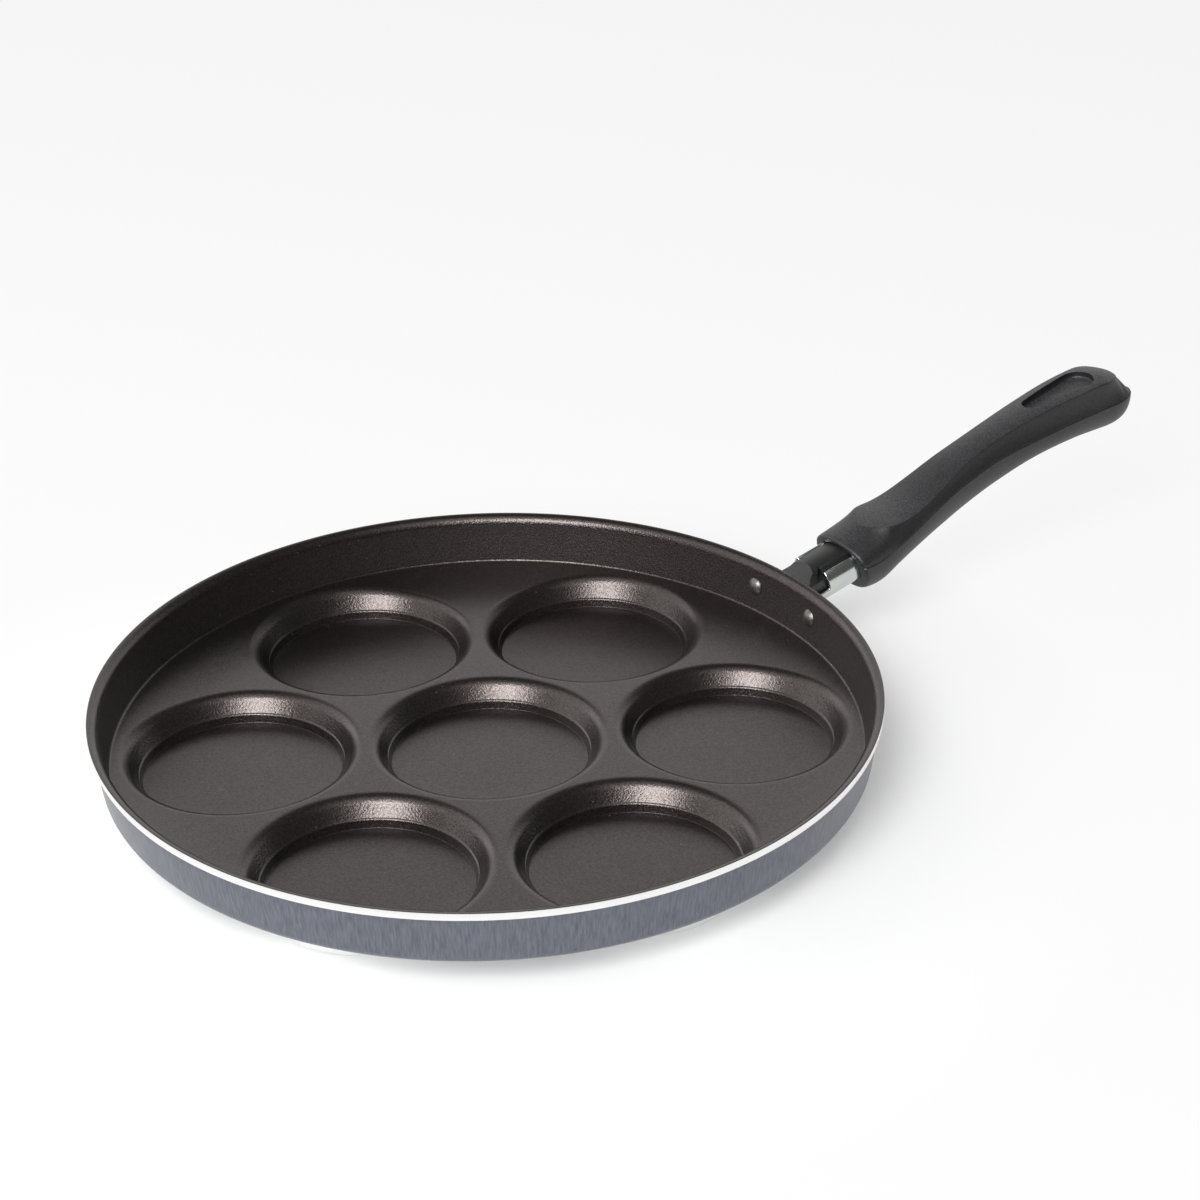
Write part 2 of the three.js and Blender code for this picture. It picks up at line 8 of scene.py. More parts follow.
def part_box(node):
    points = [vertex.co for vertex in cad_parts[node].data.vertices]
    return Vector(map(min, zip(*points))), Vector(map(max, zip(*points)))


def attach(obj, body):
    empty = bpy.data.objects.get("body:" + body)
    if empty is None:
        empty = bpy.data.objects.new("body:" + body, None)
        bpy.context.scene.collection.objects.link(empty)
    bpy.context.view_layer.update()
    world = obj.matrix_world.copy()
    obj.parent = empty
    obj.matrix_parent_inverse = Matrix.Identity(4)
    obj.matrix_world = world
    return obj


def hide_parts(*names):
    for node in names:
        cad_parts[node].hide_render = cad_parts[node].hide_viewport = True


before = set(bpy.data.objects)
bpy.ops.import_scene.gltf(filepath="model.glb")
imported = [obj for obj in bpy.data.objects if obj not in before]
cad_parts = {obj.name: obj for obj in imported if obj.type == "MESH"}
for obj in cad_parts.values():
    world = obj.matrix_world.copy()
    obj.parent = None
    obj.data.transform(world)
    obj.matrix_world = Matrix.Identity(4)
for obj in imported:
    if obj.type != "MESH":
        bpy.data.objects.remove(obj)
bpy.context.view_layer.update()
mm = 0.001  # sizes below are in millimetres
near = 0.01  # places closer than this count as the same
print("frame loaded:", len(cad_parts), "nodes")


def deselectAll():
    if bpy.context.mode != "OBJECT":
        bpy.ops.object.mode_set(mode="OBJECT")
    bpy.ops.object.select_all(action="DESELECT")


def pick(piece):
    deselectAll()
    piece.select_set(True)
    bpy.context.view_layer.objects.active = piece


def openMesh(piece, kind="EDGE"):
    pick(piece)
    bpy.ops.object.mode_set(mode="EDIT")
    bpy.ops.mesh.select_mode(type=kind)


def closeMesh():
    bpy.ops.object.mode_set(mode="OBJECT")


def choose(piece, kind, test):
    # in edit mode, select only the parts that pass the test
    bpy.ops.mesh.select_mode(type=kind)
    bpy.ops.mesh.select_all(action="DESELECT")
    bm = bmesh.from_edit_mesh(piece.data)
    for part in {"VERT": bm.verts, "EDGE": bm.edges, "FACE": bm.faces}[kind]:
        if test(part):
            part.select_set(True)
    bmesh.update_edit_mesh(piece.data)


def sliceAll(point, direction, **settings):
    bpy.ops.mesh.select_all(action="SELECT")
    bpy.ops.mesh.bisect(plane_co=point, plane_no=direction, **settings)


def addItem(name, data):
    item = bpy.data.objects.new(name, data)
    bpy.context.scene.collection.objects.link(item)
    return item


def meshPiece(name, points, faces):
    mesh = bpy.data.meshes.new(name)
    mesh.from_pydata(points, [], faces)
    return addItem(name, mesh)


def newPiece(name):
    piece = bpy.context.object
    piece.name = name
    piece.data.name = name
    bpy.ops.object.transform_apply(location=True, rotation=True, scale=True)
    return piece


def joinPieces(target, others):
    deselectAll()
    for piece in (target, *others):
        piece.select_set(True)
    bpy.context.view_layer.objects.active = target
    bpy.ops.object.join()


def modify(piece, kind, **settings):
    pick(piece)
    modifier = piece.modifiers.new(kind.lower(), kind)
    for key, value in settings.items():
        setattr(modifier, key, value)
    bpy.ops.object.modifier_apply(modifier=modifier.name)


def boolean(piece, tool, operation):
    modify(piece, "BOOLEAN", object=tool, operation=operation, solver="EXACT")
    bpy.data.objects.remove(tool)


def thicken(piece, sheet, forward):
    # along the faces' normals, or against them
    modify(piece, "SOLIDIFY", thickness=sheet * mm, offset=1 if forward else -1, use_even_offset=True)


def roundEdges(piece, width, angle):
    modify(piece, "BEVEL", width=width * mm, segments=3, limit_method="ANGLE", angle_limit=radians(angle))


def tidyNormals(piece, doubles=0.001):
    openMesh(piece)
    bpy.ops.mesh.select_all(action="SELECT")
    bpy.ops.mesh.remove_doubles(threshold=doubles * mm)
    bpy.ops.mesh.normals_make_consistent(inside=False)
    closeMesh()


def smooth(piece, angle):
    pick(piece)
    bpy.ops.object.shade_smooth_by_angle(angle=radians(angle))


def settle(piece, slot, *nodes):
    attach(piece, "root")
    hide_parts(*nodes)
    print("made", piece.name, len(piece.data.polygons), "faces")


def arcPoints(x, z, radius, start, end, steps):
    turn = [radians(start + (end - start) * i / steps) for i in range(steps + 1)]
    return [(x + radius * cos(a), z + radius * sin(a)) for a in turn]


def mirrored(side):
    return side + [(-y, z) for y, z in reversed(side) if abs(y) > near]


def pushOutline(name, outline, start, end):
    # an outline in Y and Z as one face, extruded along X
    points = [(start * mm, y * mm, z * mm) for y, z in outline]
    piece = meshPiece(name, points, [tuple(range(len(outline)))])
    openMesh(piece, "FACE")
    bpy.ops.mesh.select_all(action="SELECT")
    bpy.ops.mesh.extrude_region_move(TRANSFORM_OT_translate={"value": ((end - start) * mm, 0, 0)})
    closeMesh()
    tidyNormals(piece)
    return piece


def turnRings(name, profile, turns, startFace="NOTHING", endFace=False):
    # a circle, then one extrude, move and scale for each next ring of the profile
    deselectAll()
    radius, height = profile[0]
    bpy.ops.mesh.primitive_circle_add(
        vertices=turns, radius=radius * mm, fill_type=startFace, location=(0, 0, height * mm))
    piece = newPiece(name)
    openMesh(piece)
    bpy.ops.mesh.select_all(action="SELECT")
    for nextRadius, nextHeight in profile[1:]:
        rise = (0, 0, (nextHeight - height) * mm)
        bpy.ops.mesh.extrude_edges_move(TRANSFORM_OT_translate={"value": rise})
        grow = nextRadius / radius
        bpy.ops.transform.resize(value=(grow, grow, 1), center_override=(0, 0, 0))
        radius, height = nextRadius, nextHeight
    if endFace:
        bpy.ops.mesh.edge_face_add()
    closeMesh()
    return piece


# materials

def hexColour(code):
    parts = [int(code[i:i + 2], 16) / 255 for i in (1, 3, 5)]
    return tuple(c / 12.92 if c <= 0.04045 else ((c + 0.055) / 1.055) ** 2.4 for c in parts) + (1,)


def addNode(tree, kind, settings=None):
    # other nodes' sockets are linked, plain values are set
    node = tree.nodes.new(kind)
    for key, value in (settings or {}).items():
        if isinstance(value, bpy.types.NodeSocket):
            tree.links.new(value, node.inputs[key])
        elif isinstance(key, int) or key in node.inputs:
            node.inputs[key].default_value = value
        else:
            setattr(node, key, value)
    return node


def startMaterial(name, settings):
    material = bpy.data.materials.new(name)
    material.use_nodes = True
    tree = material.node_tree
    shader = tree.nodes["Principled BSDF"]
    for key, value in settings.items():
        shader.inputs[key].default_value = value
    return material, tree, shader, addNode(tree, "ShaderNodeTexCoord").outputs


def wire(tree, shader, sockets):
    for key, socket in sockets.items():
        tree.links.new(socket, shader.inputs[key])


def perMetre(size):
    return 1 / (size * mm)  # texture scale for a feature of this many millimetres


def noise(tree, place, size, detail):
    return addNode(tree, "ShaderNodeTexNoise", {
        "Vector": place, "Scale": perMetre(size), "Detail": detail}).outputs["Fac"]


def stretched(tree, place, scale):
    return addNode(tree, "ShaderNodeMapping", {"Vector": place, "Scale": scale}).outputs[0]


def spread(tree, value, start=0.0, end=1.0, low=0.0, high=1.0):
    # low at the start, high at the end
    return addNode(tree, "ShaderNodeMapRange", {
        "Value": value, "From Min": start, "From Max": end, "To Min": low, "To Max": high}).outputs[0]


def combine(tree, operation, first, second):
    return addNode(tree, "ShaderNodeMath", {"operation": operation, 0: first, 1: second}).outputs[0]


def along(tree, vector, direction):
    return addNode(tree, "ShaderNodeVectorMath", {
        "operation": "DOT_PRODUCT", 0: vector, 1: direction}).outputs["Value"]


def upward(tree, vector):
    return addNode(tree, "ShaderNodeSeparateXYZ", {"Vector": vector}).outputs["Z"]


def blend(tree, share, first, second):
    # from one colour to another, each a hex code or another node's colour
    first, second = (hexColour(c) if isinstance(c, str) else c for c in (first, second))
    return addNode(tree, "ShaderNodeMix", {"data_type": "RGBA", 0: share, 6: first, 7: second}).outputs[2]


def emboss(tree, height, strength, depth=0.1):
    return addNode(tree, "ShaderNodeBump", {
        "Height": height, "Strength": strength, "Distance": depth * mm}).outputs["Normal"]


def nonStickCoating():
    # baked polymer non-stick on pressed aluminium: near black with a warm sheen, semi-gloss on the flats
    # and rough on the wall, grit that sparkles in the highlights (drawn coarse so that it shows), pale flecks
    fleckGap, fleckSize, fleckRarity = 3.0, 0.06, 0.65
    material, tree, shader, coords = startMaterial("baked_non_stick_coating", {
        "IOR": 1.6, "Specular Tint": hexColour("#fff0ec")})
    facing = upward(tree, coords["Normal"])
    grit = noise(tree, coords["Object"], size=0.7, detail=3.0)
    grain = spread(tree, grit, start=0.3, end=0.7)
    fleck = addNode(tree, "ShaderNodeTexVoronoi", {
        "Vector": coords["Object"], "Scale": perMetre(fleckGap)}).outputs
    chance = addNode(tree, "ShaderNodeSeparateColor", {"Color": fleck["Color"]}).outputs["Red"]
    dot = combine(tree, "LESS_THAN", fleck["Distance"], fleckSize)
    shown = combine(tree, "MULTIPLY", dot, combine(tree, "GREATER_THAN", chance, fleckRarity))
    ground = blend(tree, grain, "#0a0909", "#161312")
    relief = spread(tree, facing, start=0.985, end=0.3, low=0.16, high=0.95)
    wire(tree, shader, {
        "Base Color": blend(tree, shown, ground, "#68635f"),
        "Roughness": spread(tree, facing, start=0.12, end=0.2, low=0.5, high=0.28),
        "Specular IOR Level": spread(tree, grain, low=0.46, high=0.78),
        "Normal": emboss(tree, grit, relief, depth=0.2)})
    return material


def satinOutside():
    # drawn aluminium under a blue-grey satin coat: fine upright draw lines, soft metal sheen
    material, tree, shader, coords = startMaterial("satin_drawn_aluminium", {
        "Metallic": 0.85, "Roughness": 0.36})
    upright = stretched(tree, coords["Object"], (1, 1, 0.045))
    lines = noise(tree, upright, size=0.6, detail=3.0)
    cloud = noise(tree, coords["Object"], size=9, detail=2.0)
    streak = spread(tree, lines, start=0.3, end=0.7)
    patch = blend(tree, cloud, "#5c5d65", "#65676f")
    wire(tree, shader, {
        "Base Color": blend(tree, streak, patch, "#767983"), "Normal": emboss(tree, lines, strength=0.2)})
    return material


def bareCutEdge():
    # aluminium turned bright where the rim was trimmed: fine lines along the edge
    material, tree, shader, coords = startMaterial("turned_bare_aluminium", {
        "Metallic": 1.0, "Roughness": 0.25})
    level = stretched(tree, coords["Object"], (0.05, 0.05, 1))
    lines = noise(tree, level, size=0.4, detail=2.0)
    wire(tree, shader, {"Base Color": blend(tree, lines, "#efeeed", "#fbfafa")})
    return material


def bareUnderside():
    # mill-finish aluminium left bare under the wells: pale, soft metal sheen, faint scuffs from the hob
    material, tree, shader, coords = startMaterial("bare_pressed_aluminium", {
        "Metallic": 1.0, "Roughness": 0.38})
    scuff = noise(tree, coords["Object"], size=2.5, detail=4.0)
    wire(tree, shader, {
        "Base Color": blend(tree, scuff, "#eceded", "#fafafa"), "Normal": emboss(tree, scuff, strength=0.15)})
    return material


def zincPlate():
    # bright zinc on steel: mirror-like with a faint blue to yellow tinge and a slightly uneven haze
    material, tree, shader, coords = startMaterial("bright_zinc_plate", {"Metallic": 1.0})
    tinge = noise(tree, coords["Object"], size=6, detail=3.0)
    wire(tree, shader, {
        "Base Color": blend(tree, tinge, "#b9c4cc", "#d3d1c6"),
        "Roughness": spread(tree, tinge, low=0.12, high=0.26)})
    return material


def rivetMetal():
    # headed aluminium rivets: dull grey, slightly uneven from the press
    material, tree, shader, coords = startMaterial("pressed_rivet_aluminium", {
        "Metallic": 1.0, "Roughness": 0.42})
    stain = noise(tree, coords["Object"], size=1.5, detail=3.0)
    wire(tree, shader, {
        "Base Color": blend(tree, stain, "#5d5a58", "#85827f"), "Normal": emboss(tree, stain, strength=0.3)})
    return material


def mouldedPhenolic(name, grain, strength, roughness, dark, pale, paintedTopColour):
    # black phenolic moulding: fine spark grain from the mould; painted grey light on the grain of the upward
    # faces
    material, tree, shader, coords = startMaterial(name, {"Roughness": roughness, "IOR": 1.55})
    spark = noise(tree, coords["Object"], size=grain, detail=3.0)
    speck = spread(tree, spark, start=0.35, end=0.75)
    # painted highlight: faces that look up get a lighter grey on the grain, standing in for light falling on
    # the top
    paintedTopShare = spread(tree, upward(tree, coords["Normal"]), start=0.86, end=0.97)
    paintedTopLight = combine(tree, "MULTIPLY", paintedTopShare, speck)
    wire(tree, shader, {
        "Base Color": blend(tree, paintedTopLight, blend(tree, speck, dark, pale), paintedTopColour),
        "Normal": emboss(tree, spark, strength)})
    return material


coating = nonStickCoating()
outside = satinOutside()
cutEdge = bareCutEdge()
underside = bareUnderside()
zinc = zincPlate()
rivetGrey = rivetMetal()
# the last colour is the painted grey light on the grip's upward faces
gripBlack = mouldedPhenolic(
    "grained_phenolic_moulding", grain=0.5, strength=0.8, roughness=0.46,
    dark="#0a0a0b", pale="#2b2b2d", paintedTopColour="#4b4a4c")
# the last colour equals the pale grain here, so no painted light shows on the insert
coreBlack = mouldedPhenolic(
    "smooth_phenolic_moulding", grain=1.2, strength=0.2, roughness=0.4,
    dark="#131314", pale="#1b1b1c", paintedTopColour="#1b1b1c")
print("materials ready")

# pan body

pan = {
    "sheet": 2.5, "wellSheet": 1.8,
    # a well, from its floor over the step and the shelf to the rolled edge
    "floorRadius": 33.0, "floorStart": 20.0, "floorInset": 0.2, "floorFillet": 0.15,
    "stepHeight": 2.8, "stepDraft": 0.39, "stepRound": 0.9, "shelfWidth": 0.6, "shelfSlope": 34.0,
    "shelfRound": 0.7, "coneSlope": 56.0, "rollRadius": 5.0, "flatRing": 0.3, "roundSteps": 8,
    # these set the height of the deck and the wells' pitch
    "ledgeWidth": 1.3, "ledgeRise": 0.9, "coneHeight": 3.0, "wellGap": 1.0, "wellMargin": 1.3,
    # deck, wall and rim
    "dishRise": 1.8, "dishWidth": 20.0, "footFillet": 1.0, "footSteps": 6, "wallHeight": 13.0,
    "wallFlare": 1.6, "wallRows": (0.25, 0.5, 0.75), "lipBend": 3.7, "lipSteps": 12, "edgeRound": 0.18,
    "rimTrim": 0.002, "underDrop": 0.25,
    "wells": 6, "wellTurns": 96, "wallTurns": 288, "deckGrid": 6.0, "gridShift": 0.37,
}
floorTop = pan["wellSheet"]
stepTop = floorTop + pan["stepHeight"]
ledgeTop = stepTop + pan["ledgeRise"]
ledgeRadius = pan["floorRadius"] + pan["ledgeWidth"]
coneTop = ledgeTop + pan["coneHeight"]
coneSlope = radians(pan["coneSlope"])
coneTopRadius = ledgeRadius + pan["coneHeight"] / tan(coneSlope)
deckTop = coneTop + pan["rollRadius"] * (1 - cos(coneSlope))
rollEnd = coneTopRadius + pan["rollRadius"] * sin(coneSlope)
wellPitch = 2 * rollEnd + pan["wellGap"]
footRadius = wellPitch + rollEnd + pan["wellMargin"]
footTop = deckTop + pan["dishRise"]
wallFootRadius = footRadius + pan["footFillet"]
wallTopRadius = wallFootRadius + pan["wallFlare"]
rimRadius = wallTopRadius + pan["lipBend"]
wallLean = atan2(pan["wallFlare"], pan["wallHeight"])
wallThickness = pan["sheet"] / cos(wallLean)


def dishAt(radius):
    # lift of the deck towards the wall
    inset = min(1, max(0, radius - (footRadius - pan["dishWidth"])) / pan["dishWidth"])
    return pan["dishRise"] * inset ** 2


def roundedPath(corners, steps):
    # a line through corners of radius, height and rounding
    points = [corners[0][:2]]
    for before, corner, after in zip(corners, corners[1:], corners[2:]):
        here, rounding = Vector(corner[:2]), corner[2]
        back, on = (Vector(before[:2]) - here).normalized(), (Vector(after[:2]) - here).normalized()
        half = back.angle(on) / 2
        middle = here + (back + on).normalized() * rounding / sin(half)
        start, end = here + back * rounding / tan(half) - middle, here + on * rounding / tan(half) - middle
        turn = [start.normalized().slerp(end.normalized(), i / steps) for i in range(steps + 1)]
        points += [tuple(middle + aim * rounding) for aim in turn]
    return points + [corners[-1][:2]]


def wellProfile():
    stepEdge = pan["floorRadius"] + pan["stepDraft"]
    shelfEdge = stepEdge + pan["shelfWidth"]
    shelfTop = stepTop + pan["shelfWidth"] * tan(radians(pan["shelfSlope"]))
    bend = shelfEdge + (deckTop - shelfTop) / tan(coneSlope)
    return roundedPath([
        (pan["floorStart"], floorTop),
        (pan["floorRadius"] - pan["floorInset"], floorTop, pan["floorFillet"]),
        (stepEdge, stepTop, pan["stepRound"]),
        (shelfEdge, shelfTop, pan["shelfRound"]),
        (bend, deckTop, pan["rollRadius"]),
        (rollEnd + pan["flatRing"], deckTop)], pan["roundSteps"])


def wallProfile():
    # built level with the deck, the dish lifts it into place
    start = deckTop + pan["footFillet"]
    points = arcPoints(footRadius, start, pan["footFillet"], -90, 0, pan["footSteps"])
    for share in pan["wallRows"]:
        points.append((wallFootRadius + share * pan["wallFlare"], start + share * pan["wallHeight"]))
    return points + arcPoints(rimRadius, start + pan["wallHeight"], pan["lipBend"], 180, 90, pan["lipSteps"])


def makePan():
    body = turnRings("pan_body", wellProfile(), pan["wellTurns"], startFace="NGON")
    others = []
    for i in range(pan["wells"]):
        angle = (i + 0.5) * 2 * pi / pan["wells"]  # the handle lies between two wells
        pick(body)
        bpy.ops.object.duplicate()
        bpy.ops.transform.translate(value=(wellPitch * cos(angle) * mm, wellPitch * sin(angle) * mm, 0))
        bpy.ops.object.transform_apply(location=True, rotation=False, scale=False)
        others.append(bpy.context.object)
    others.append(turnRings("pan_wall", wallProfile(), pan["wallTurns"]))
    joinPieces(body, others)

    # fill the deck between the eight circles, then cut it to a grid so that it can follow the dish
    deckMark = 3
    openMesh(body)
    choose(body, "EDGE", lambda edge: edge.is_boundary and all(
        abs(v.co.z - deckTop * mm) < near * mm for v in edge.verts))
    bpy.ops.mesh.fill(use_beauty=True)
    bm = bmesh.from_edit_mesh(body.data)
    for face in bm.faces:
        face.material_index = deckMark if face.select else 0
    bmesh.update_edit_mesh(body.data)
    lines = int(footRadius / pan["deckGrid"])
    for side in ((1, 0, 0), (0, 1, 0)):
        for i in range(-lines, lines + 1):
            offset = (i + pan["gridShift"]) * pan["deckGrid"] * mm
            choose(body, "FACE", lambda face: face.material_index == deckMark)
            bpy.ops.mesh.bisect(plane_co=Vector(side) * offset, plane_no=side)
    closeMesh()

    # the dish, and the share of the sheet's thickness from the wells up to the deck
    sheetShare = body.vertex_groups.new(name="sheetShare")
    for vertex in body.data.vertices:
        share = min(1, max(0, (vertex.co.z / mm - ledgeTop) / (deckTop - ledgeTop)))
        sheetShare.add([vertex.index], share, "REPLACE")
        vertex.co.z += share * dishAt(hypot(vertex.co.x, vertex.co.y) / mm) * mm
    for face in body.data.polygons:
        face.material_index = 0
    tidyNormals(body)
    middleFloor = min(body.data.polygons, key=lambda face: face.center.length)
    if middleFloor.normal.z < 0:
        openMesh(body)
        bpy.ops.mesh.select_all(action="SELECT")
        bpy.ops.mesh.flip_normals()
        closeMesh()

    outsideSlot, cutSlot, undersideSlot = 1, 2, 3
    for material in (coating, outside, cutEdge, underside):
        body.data.materials.append(material)
    modify(body, "SOLIDIFY", thickness=pan["sheet"] * mm, offset=-1, use_even_offset=True,
           use_quality_normals=True, use_rim=True, material_offset=outsideSlot, material_offset_rim=cutSlot,
           vertex_group="sheetShare", thickness_vertex_group=pan["wellSheet"] / pan["sheet"])
    for vertex in body.data.vertices:  # the cut edge stays upright and the wells stand flat
        vertex.co.z = max(vertex.co.z, 0)
        out = hypot(vertex.co.x, vertex.co.y) / ((rimRadius - pan["rimTrim"]) * mm)
        if out > 1:
            vertex.co.x /= out
            vertex.co.y /= out
    openMesh(body)  # the two corners of the cut edge
    choose(body, "EDGE", lambda edge: len(edge.link_faces) == 2 and len(
        {face.material_index for face in edge.link_faces}) == 2)
    bpy.ops.mesh.bevel(offset=pan["edgeRound"] * mm, segments=2, affect="EDGES")
    closeMesh()
    for face in body.data.polygons:  # outside of the wells, below the deck
        lift = dishAt(hypot(face.center.x, face.center.y) / mm)
        under = deckTop - pan["sheet"] + lift - pan["underDrop"]
        if face.material_index == outsideSlot and face.center.z < under * mm:
            face.material_index = undersideSlot
    smooth(body, angle=38)
    settle(body, "coated_aluminium", "pan_body")


makePan()

# rivets, domed inside the pan and flat outside the ears

rivet = {
    "spacing": 30.0, "rise": 9.1, "headRadius": 3.1, "headHeight": 1.5, "headSink": 0.25, "rimOut": 0.05,
    "rimRise": 0.12, "shankRadius": 1.8, "tailRadius": 3.1, "tailHeight": 1.3, "tailSide": 0.5,
    "tailTaper": 0.88, "tailCrown": 1.05, "tailEnd": 0.4, "seatGap": 0.3, "earSheet": 1.5,
    "smallest": 0.05, "domeSteps": 10, "turns": 40,
}
rivetHeight = footTop + rivet["rise"]


def wallOuterAt(height):
    foot = footTop + pan["footFillet"]
    return wallFootRadius + wallThickness + (height - foot) * pan["wallFlare"] / pan["wallHeight"]


rivetSeat = wallOuterAt(rivetHeight) - wallThickness


def makeRivet(name, side):
    head, high, rimOut = rivet["headRadius"], rivet["headHeight"], rivet["rimOut"]
    shank, tail = rivet["shankRadius"], rivet["tailRadius"]
    dome = (head ** 2 + high ** 2) / (2 * high)
    edge = degrees(asin(head / dome))
    held = pan["sheet"] + rivet["earSheet"] + 2 * rivet["seatGap"]
    headArc = arcPoints(0, dome - high - rivet["headSink"], dome, -90, -90 + edge, rivet["domeSteps"])
    profile = [(max(r, rivet["smallest"]), z) for r, z in headArc]
    profile += [(head + rimOut, -rivet["rimRise"]), (head - rimOut, 0.0), (shank, 0.0), (shank, held)]
    profile += [(tail, held), (tail, held + rivet["tailSide"])]
    profile += [(tail * rivet["tailTaper"], held + rivet["tailHeight"]),
                (rivet["tailEnd"], held + rivet["tailHeight"] * rivet["tailCrown"])]
    piece = turnRings(name, profile, rivet["turns"], startFace="NGON", endFace=True)
    angle = side * asin(rivet["spacing"] / 2 / rivetSeat)
    place = Matrix.Rotation(angle, 4, "Z") @ Matrix.Translation((rivetSeat * mm, 0, rivetHeight * mm))
    piece.data.transform(place @ Matrix.Rotation(pi / 2 + wallLean, 4, "Y"))
    tidyNormals(piece)
    smooth(piece, angle=35)
    piece.data.materials.append(rivetGrey)
    settle(piece, "rivet_aluminium", name)


makeRivet("rivet_left", 1)
makeRivet("rivet_right", -1)

# neck: bracket and insert, drawn along X from the rim and then tilted up

neck = {
    "slope": 12.0, "rootRise": 12.6, "halfWidth": 10.0, "halfHeight": 5.6, "mouth": 15.0, "corner": 4.5,
    "cornerSteps": 10, "sideLine": ((0.0, 0.9), (0.25, 2.4), (0.9, 3.9)),  # set in by, height
    "sideStart": 9.0, "skirt": 5.0, "length": 36.5, "sheet": 1.5, "edgeRound": 0.45,
    "earReach": 6.5, "earHeight": 9.4, "earCorner": 3.0, "earSteps": 36,
}
neckTilt = Matrix.Rotation(-radians(neck["slope"]), 4, "Y")
neckFrame = Matrix.Translation((rimRadius * mm, 0, (footTop + neck["rootRise"]) * mm)) @ neckTilt


def channelSide():
    # from the edge of the floor round the corner and up to the upper edge
    half, low, corner = neck["halfWidth"], -neck["halfHeight"], neck["corner"]
    points = arcPoints(half - corner, low + corner, corner, -90, 0, neck["cornerSteps"])
    points += [(half - inset, height) for inset, height in neck["sideLine"]]
    return points + [(neck["mouth"] / 2, neck["halfHeight"])]


def makeChannel():
    side = channelSide()
    floorHalf, floorLow = side[0]
    start = -(rimRadius - wallOuterAt(rivetHeight)) + rivet["seatGap"] + neck["sheet"] / 2
    length = neck["length"] - start
    deselectAll()
    bpy.ops.mesh.primitive_plane_add(size=1, location=((start + length / 2) * mm, 0, floorLow * mm))
    bpy.context.object.scale = (length * mm, 2 * floorHalf * mm, 1)
    channel = newPiece("handle_bracket")
    for hand in (1, -1):
        openMesh(channel)
        choose(channel, "EDGE", lambda edge: edge.is_boundary and all(
            abs(v.co.y - hand * floorHalf * mm) < near * mm for v in edge.verts))
        for (y, z), (nextY, nextZ) in zip(side, side[1:]):
            step = (0, hand * (nextY - y) * mm, (nextZ - z) * mm)
            bpy.ops.mesh.extrude_edges_move(TRANSFORM_OT_translate={"value": step})
        closeMesh()
    # the sides stop short of the rim, only the low part runs in to the ears
    sideStart, skirtTop = neck["sideStart"] * mm, (neck["skirt"] - neck["halfHeight"]) * mm
    openMesh(channel, "FACE")
    sliceAll((sideStart, 0, 0), (1, 0, 0))
    sliceAll((0, 0, skirtTop), (0, 0, 1))
    choose(channel, "FACE", lambda face: (
        face.calc_center_median().x < sideStart and face.calc_center_median().z > skirtTop))
    bpy.ops.mesh.delete(type="FACE")
    closeMesh()
    tidyNormals(channel)
    floorFace = min(channel.data.polygons, key=lambda face: face.center.z)
    inward = floorFace.normal.z > 0
    thicken(channel, neck["sheet"], inward)
    channel.data.transform(neckFrame)
    return channel


def makeEars():
    # an upright edge spun along the wall
    reach = asin((rivet["spacing"] / 2 + neck["earReach"]) / (rivetSeat + wallThickness))
    deselectAll()
    bpy.ops.mesh.primitive_plane_add(size=1)
    ears = newPiece("ears")
    openMesh(ears)
    choose(ears, "VERT", lambda vertex: vertex.co.x > 0)
    bpy.ops.mesh.delete(type="VERT")
    bm = bmesh.from_edit_mesh(ears.data)
    for vertex in bm.verts:
        height = rivetHeight + (neck["earHeight"] / 2 if vertex.co.y > 0 else -neck["earHeight"] / 2)
        out = wallOuterAt(height) + rivet["seatGap"]
        vertex.co = Vector((out * cos(reach), -out * sin(reach), height)) * mm
    bmesh.update_edit_mesh(ears.data)
    bpy.ops.mesh.select_all(action="SELECT")
    bpy.ops.mesh.spin(steps=neck["earSteps"], angle=2 * reach, center=(0, 0, 0), axis=(0, 0, 1))
    closeMesh()
    tidyNormals(ears)
    openMesh(ears)
    choose(ears, "VERT", lambda vertex: len(vertex.link_edges) == 2)
    bpy.ops.mesh.bevel(offset=neck["earCorner"] * mm, segments=6, affect="VERTICES")
    closeMesh()
    outward = ears.data.polygons[0].normal.dot(ears.data.polygons[0].center) > 0
    thicken(ears, neck["sheet"], outward)
    return ears


def makeBracket():
    channel, ears = makeChannel(), makeEars()
    for piece in (channel, ears):
        tidyNormals(piece)
        roundEdges(piece, neck["edgeRound"], angle=50)
    joinPieces(channel, [ears])
    smooth(channel, angle=40)
    channel.data.materials.append(zinc)
    settle(channel, "zinc_plated_steel", "handle_bracket")


makeBracket()

insert = {
    "crown": 1.5, "gap": 0.3, "cornerSteps": 6, "cheekTop": 1.7, "shoulder": 5.7,
    "shoulderLine": ((0.15, 0.7), (0.0, 0.4)),  # out from the shoulder, down from the channel's edge
    "domeHalf": 5.3, "domeDrop": 0.98, "domeSteps": 8, "noseDrop": 4.6, "noseRun": 7.4, "noseGap": 0.1,
    "notchInner": 3.9, "notchOuter": 12, "notchLength": 3.4, "notchRise": 3.3, "notchOver": 0.2,
    "edgeRound": 0.4,
}
insertTop = neck["halfHeight"] + insert["crown"]


def insertOutline(cheekTop):
    inside = neck["sheet"] + insert["gap"]
    low, half, corner = inside - neck["halfHeight"], neck["halfWidth"] - inside, neck["corner"] - inside
    side = arcPoints(half - corner, low + corner, corner, -90, 0, insert["cornerSteps"])
    side.append((half, cheekTop))
    side += [(insert["shoulder"] + out, neck["halfHeight"] - down) for out, down in insert["shoulderLine"]]
    for i in range(insert["domeSteps"] + 1):  # crowned top
        share = 1 - i / insert["domeSteps"]
        side.append((insert["domeHalf"] * share, insertTop - insert["domeDrop"] * share ** 2))
    return mirrored(side)


